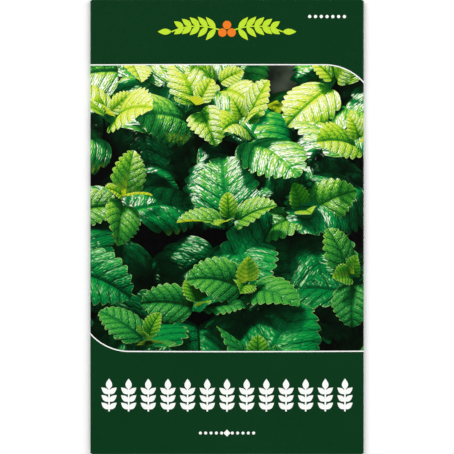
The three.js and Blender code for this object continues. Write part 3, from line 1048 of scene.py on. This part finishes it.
class Nodes:
    """Makes a material's nodes. What goes into one is a number, a tuple or another one's output."""

    def __init__(self, name):
        self.material = bpy.data.materials.new(name)
        self.material.use_nodes = True
        self.tree = self.material.node_tree
        self.shader = self.tree.nodes["Principled BSDF"]
        self.at = self.scale(self.add("TexCoord").outputs["Object"], 1 / MM)  # the point, in millimetres

    def feed(self, socket, value):
        if isinstance(value, bpy.types.NodeSocket):
            self.tree.links.new(value, socket)
        else:
            socket.default_value = value

    def fill(self, node, **inputs):
        """Feeds a node's inputs by their names, and gives its first output."""
        for name, value in inputs.items():
            self.feed(node.inputs[name.replace("_", " ")], value)
        return node.outputs[0]

    def add(self, kind, *inputs, **settings):
        node = self.tree.nodes.new("ShaderNode" + kind)
        for name, value in settings.items():
            setattr(node, name, value)
        for socket, value in zip(node.inputs, inputs):
            self.feed(socket, value)
        return node

    def math(self, operation, *inputs):
        return self.add("Math", *inputs, operation=operation).outputs[0]

    def times(self, *factors):
        return reduce(lambda a, b: self.math("MULTIPLY", a, b), factors)

    def plus(self, *terms):
        return reduce(lambda a, b: self.math("ADD", a, b), terms)

    def less(self, a, b):
        return self.math("SUBTRACT", a, b)

    def vector(self, operation, *inputs):
        return self.add("VectorMath", *inputs, operation=operation).outputs[0]

    def scale(self, vector, factor):
        return self.fill(self.add("VectorMath", vector, operation="SCALE"), Scale=factor)

    def dot(self, a, direction):
        return self.add("VectorMath", a, tuple(direction), operation="DOT_PRODUCT").outputs["Value"]

    def facing(self, a, direction):
        """How far two unit vectors agree, from 0 to 1."""
        return self.math("MAXIMUM", self.dot(a, direction), 0.0)

    def smooth(self, value, low, high, start=0.0, end=1.0):
        return self.add("MapRange", value, low, high, start, end, interpolation_type="SMOOTHSTEP").outputs[0]

    def mix(self, share, a, b, blend="MIX"):
        node = self.add("Mix", share, data_type="RGBA", blend_type=blend)
        self.feed(node.inputs[6], a)
        self.feed(node.inputs[7], b)
        return node.outputs[2]

    def ramp(self, value, *stops):
        """A colour from stops, each of which is a value and then a screen's red, green and blue."""
        node = self.add("ValToRGB", value)
        elements = node.color_ramp.elements
        while len(elements) < len(stops):
            elements.new(1.0)
        for element, (position, *colour) in zip(elements, stops):
            element.position, element.color = position, srgb(*colour)
        return node.outputs[0]

    def attribute(self, name, output="Vector"):
        return self.add("Attribute", attribute_name=name).outputs[output]

    def split(self, vector):
        return self.add("SeparateXYZ", vector).outputs

    def join(self, x, y):
        return self.add("CombineXYZ", x, y).outputs[0]

    def noise(self, scale, detail=2.0, roughness=0.5, at=None):
        node = self.add("TexNoise")
        return self.fill(node, Vector=at or self.at, Scale=scale, Detail=detail, Roughness=roughness)

    def cell_edge(self, at):
        """The distance from the edge of a cell about one unit wide."""
        node = self.add("TexVoronoi", voronoi_dimensions="2D", feature="DISTANCE_TO_EDGE")
        return self.fill(node, Vector=at, Scale=1.0, Randomness=0.9)

    def surface(self, colour, roughness, height, distance, **plain):
        """Sets the shader's colour, roughness and bump, and plain values of its other inputs."""
        bump = self.fill(self.add("Bump"), Height=height, Distance=distance * MM)
        self.fill(self.shader, Base_Color=colour, Roughness=roughness, Normal=bump, **plain)
        return self.material


COATED_GLOSS = 0.15  # the shaders' specular level for print under its thin varnish


def coated(n, colour):
    """Print on coated paper, a little uneven in colour and gloss, and scuffed here and there on folds."""
    cloud = n.smooth(n.noise(0.06, 3), 0.3, 0.7, 0.0, 0.05)
    colour = n.mix(cloud, colour, srgb(255, 255, 255), "SOFT_LIGHT")
    wear = n.times(n.attribute("crease", "Fac"), n.smooth(n.noise(1.6, 4, 0.7), 0.7, 0.8))
    colour = n.mix(wear, colour, srgb(205, 205, 198))
    roughness = n.plus(n.smooth(n.noise(0.9, 3), 0.25, 0.75, 0.27, 0.34), n.times(wear, 0.3))
    return n.surface(colour, roughness, n.noise(3.5, 2, 0.6), 0.004, Specular_IOR_Level=COATED_GLOSS)


RIDGE, PUCKER = 0.4, 0.12  # how far the blade puffs up between side veins, and in the net's cells
RELIEF_STEP = 0.02
LIT, FROM_SKY, GLOW, SHEEN = 0.66, 0.56, 0.22, 0.14  # the weights of four kinds of light in a leaf's tone


def leaf_relief(n, phase, out):
    """The blade's relief, which puffs up between its sunken veins, and the two patterns that make it."""
    between = n.math("ABSOLUTE", n.math("SINE", n.times(phase, math.pi)))
    cells = n.smooth(n.cell_edge(n.join(n.times(phase, 4.0), n.times(out, 5.0))), 0.0, 0.28)
    swell = n.plus(n.times(n.math("POWER", between, 0.6), RIDGE), n.times(cells, PUCKER))
    return n.times(swell, n.smooth(out, 0.0, 0.14)), between, cells


def leaf_print():
    """The picture's leaves, in the light that the sheet's mesh holds for them."""
    n = Nodes("print_leaves")
    phase, out, edge = n.split(n.attribute("leaf_place"))
    sun, sky, age = n.split(n.attribute("leaf_light"))
    normal, along, across = (n.attribute("leaf_" + name) for name in ("normal", "along", "across"))
    under = n.math("GREATER_THAN", age, 1.0001)
    youth = n.less(age, under)
    depth = n.smooth(n.split(n.at)[1], PICTURE_BOTTOM, PICTURE_TOP)

    height, between, cells = leaf_relief(n, phase, out)
    further, outward = n.plus(phase, RELIEF_STEP), n.plus(out, RELIEF_STEP)
    slope_along = n.times(n.less(leaf_relief(n, further, out)[0], height), 1 / RELIEF_STEP)
    slope_across = n.times(n.less(leaf_relief(n, phase, outward)[0], height), 1 / RELIEF_STEP)
    tilt = n.vector("ADD", n.scale(along, slope_along), n.scale(across, slope_across))
    bumpy = n.vector("NORMALIZE", n.vector("SUBTRACT", normal, tilt))

    lit = n.times(n.facing(bumpy, SUN), sun)
    through = n.times(n.smooth(n.dot(normal, SUN), 0.12, -0.4), sun, n.plus(0.35, depth))
    from_sky = n.times(sky, n.plus(0.45, n.times(n.facing(bumpy, UP), 0.55)))
    sheen = n.times(n.math("POWER", n.facing(bumpy, unit(UP + TO_VIEWER)), 10.0), sky)
    gloss = n.times(n.math("POWER", n.facing(bumpy, unit(SUN + TO_VIEWER)), 18.0), sun)

    tone = n.plus(n.times(lit, LIT), n.times(from_sky, FROM_SKY))
    tone = n.plus(tone, n.times(youth, sun, GLOW), n.times(sheen, SHEEN))
    vein = n.plus(0.46, n.times(n.math("POWER", between, 0.6), 0.34), n.times(cells, 0.2))
    tone = n.times(tone, vein)
    grown = n.ramp(
        tone,
        (0.0, 0, 3, 0),
        (0.1, 0, 32, 10),
        (0.22, 0, 76, 34),
        (0.4, 0, 124, 54),
        (0.58, 24, 158, 60),
        (0.76, 100, 192, 66),
        (1.0, 204, 228, 92),
    )
    tender = n.ramp(
        tone,
        (0.0, 3, 10, 0),
        (0.2, 18, 92, 14),
        (0.4, 84, 160, 20),
        (0.6, 168, 208, 20),
        (1.0, 230, 236, 84),
    )
    shining = n.ramp(through, (0.0, 50, 130, 30), (0.3, 160, 192, 24), (0.8, 222, 224, 30))
    veined = n.mix(n.times(n.less(1.0, vein), 1.5), shining, grown)
    colour = n.mix(n.smooth(n.plus(youth, n.times(depth, 0.5)), 0.4, 1.3), grown, tender)
    colour = n.mix(n.math("MINIMUM", n.times(through, 3.0), 1.0), colour, veined)
    margin = n.times(n.smooth(edge, 0.1, 0.45, 1.0, 0.0), n.smooth(tone, 0.15, 0.5))
    colour = n.mix(n.times(margin, 0.5), colour, srgb(196, 222, 130))
    patch = n.noise(1.0, 3, 0.6, n.join(n.times(phase, 5.0), n.times(out, 4.0)))
    shine = n.times(gloss, n.smooth(patch, 0.38, 0.62), n.less(1.0, under), n.plus(0.9, depth))
    white = n.mix(n.smooth(depth, 0.0, 0.8), srgb(150, 212, 140), srgb(248, 252, 234))
    return coated(n, n.mix(n.smooth(shine, 0.08, 0.5), colour, white))


def shade_print():
    """The dark between the picture's leaves, and the blurred ground behind them at its top."""
    n = Nodes("print_shade")
    ground = n.mix(n.smooth(n.noise(0.12, 2), 0.35, 0.7), srgb(20, 27, 20), srgb(66, 76, 62))
    return coated(n, n.mix(n.smooth(n.split(n.at)[1], 36.0, 50.0), srgb(0, 1, 0), ground))


def grained(name, noise, colours, roughness, distance, stretch=(1, 1, 1), **plain):
    """A surface whose colour, gloss and relief follow one noise, given by its scale, detail and roughness."""
    n = Nodes(name)
    grain = n.noise(*noise, n.vector("MULTIPLY", n.at, stretch))
    colour = n.mix(grain, *(srgb(*colour) for colour in colours))
    return n.surface(colour, n.smooth(grain, 0.3, 0.7, *roughness), grain, distance, **plain)


def paper_core():
    """Bare paper: the sheet's inside and its cut edge."""
    whites = (226, 224, 216), (243, 242, 236)
    return grained("bare_paper", (3.0, 5, 0.7), whites, (0.82, 0.92), 0.02, Specular_IOR_Level=0.3)


FLAT_INKS = {
    "field": (7, 54, 25),
    "white": (244, 246, 242),
    "lime": (188, 224, 50),
    "orange": (236, 122, 34),
    "pale": (236, 240, 224),
}
OTHER_INKS = {"leaves": leaf_print, "shade": shade_print, "core": paper_core}


def ink_material(name):
    if name in OTHER_INKS:
        return OTHER_INKS[name]()
    return coated(Nodes("print_" + name), srgb(*FLAT_INKS[name]))


def foil_paper():
    """The sachet's paper, dull side out, over foil: faint crinkles in a grey sheen."""
    greys = (190, 192, 197), (216, 217, 220)
    return grained("sachet_foil_paper", (0.3, 4, 0.5), greys, (0.42, 0.54), 0.4, Metallic=0.7)


def dried_glue():
    """A thin film of adhesive with streaks in it."""
    ambers = (214, 200, 160), (240, 232, 205)
    return grained("dried_adhesive", (1.0, 4, 0.6), ambers, (0.3, 0.55), 0.03, (0.4, 3.0, 1.0))


def seed_coat():
    """The nutlets' dark brown skin, paler at its rubbed ridges."""
    n = Nodes("nutlet_skin")
    grain = n.noise(4.0, 5, 0.7)
    colour = n.ramp(grain, (0.25, 38, 25, 15), (0.55, 78, 54, 34), (0.8, 128, 98, 66))
    shade = n.smooth(n.attribute("shade", "Fac"), 0.0, 1.0, 0.0, 0.6)
    colour = n.mix(shade, colour, srgb(24, 16, 11))
    return n.surface(colour, n.smooth(grain, 0.3, 0.7, 0.45, 0.7), grain, 0.06)


def studio_paper():
    """The pale paper that the packet lies on."""
    n = Nodes("studio_paper")
    grain = n.noise(1.5, 4, 0.6)
    colour = n.mix(grain, srgb(249, 249, 249), srgb(253, 253, 253))
    return n.surface(colour, 0.8, grain, 0.02, Specular_IOR_Level=0.2)


# ---- The pieces ----

rng = np.random.default_rng(6)
packet = envelope(rng)
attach(packet, "root")
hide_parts("envelope")

glue, foil = dried_glue(), foil_paper()
for piece, node, slot, material in (
    (seam_film(rng), "side_seam_glue", "dried_glue", glue),
    (end_film("bottom_glue_film", -1, BOTTOM_FLAP, rng), "bottom_flap_glue", "dried_glue", glue),
    (end_film("top_glue_film", 1, TOP_FLAP, rng), "top_flap_glue", "dried_glue", glue),
    (web("sachet_back", sachet_back, rng), "sachet_back_web", "foil_paper", foil),
    (web("sachet_front", sachet_front, rng), "sachet_front_web", "foil_paper", foil),
    (pile(rng), "seeds", "seed_coat", seed_coat()),
):
    piece.data.materials.append(material)
    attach(piece, "root")
    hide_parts(node)


# ---- Camera, light and floor ----

LENS, SENSOR = 100.0, 36.0  # millimetres
RIM_HEIGHT = 1.1  # where the folds are widest, and the camera sees the packet's outline
CROP = 0.25  # how much of the packet's two ends the photo leaves out
# Each light's name, its place in metres, and its power in watts.
LIGHTS = (
    ("key", (-1.8, 1.65, 1.95), 71.0),
    ("fill", (2.1, 1.05, 1.8), 50.0),
    ("front", (0.3, -2.4, 1.65), 50.0),
)
LIGHT_SIZE, WORLD_LIGHT = 2.1, 0.08
FLOOR = 4.0  # metres from its middle to its sides


def studio():
    scene = bpy.context.scene
    camera = new_object("camera", bpy.data.cameras.new("camera"))
    camera.data.lens, camera.data.sensor_width = LENS, SENSOR
    camera.location = (0, 0, (RIM_HEIGHT + (HALF_HEIGHT - CROP) / (SENSOR / 2 / LENS)) * MM)
    scene.camera = camera
    for name, place, power in LIGHTS:
        light = new_object(name, bpy.data.lights.new(name, "AREA"))
        light.data.size, light.data.energy = LIGHT_SIZE, power
        light.location = place
        light.rotation_euler = Vector(place).to_track_quat("Z", "Y").to_euler()
    scene.world = bpy.data.worlds.new("studio")
    scene.world.use_nodes = True
    background = scene.world.node_tree.nodes["Background"]
    background.inputs["Color"].default_value = (1, 1, 1, 1)
    background.inputs["Strength"].default_value = WORLD_LIGHT
    scene.view_settings.view_transform = "Standard"

    floor = new_object("floor", bpy.data.meshes.new("floor"))
    corners = np.append(rectangle(-FLOOR, -FLOOR, FLOOR, FLOOR), np.zeros((4, 1)), 1)
    floor.data.from_pydata(corners, [], [(0, 1, 2, 3)])
    floor.data.materials.append(studio_paper())
    floor.location.z = -0.02 * MM


studio()
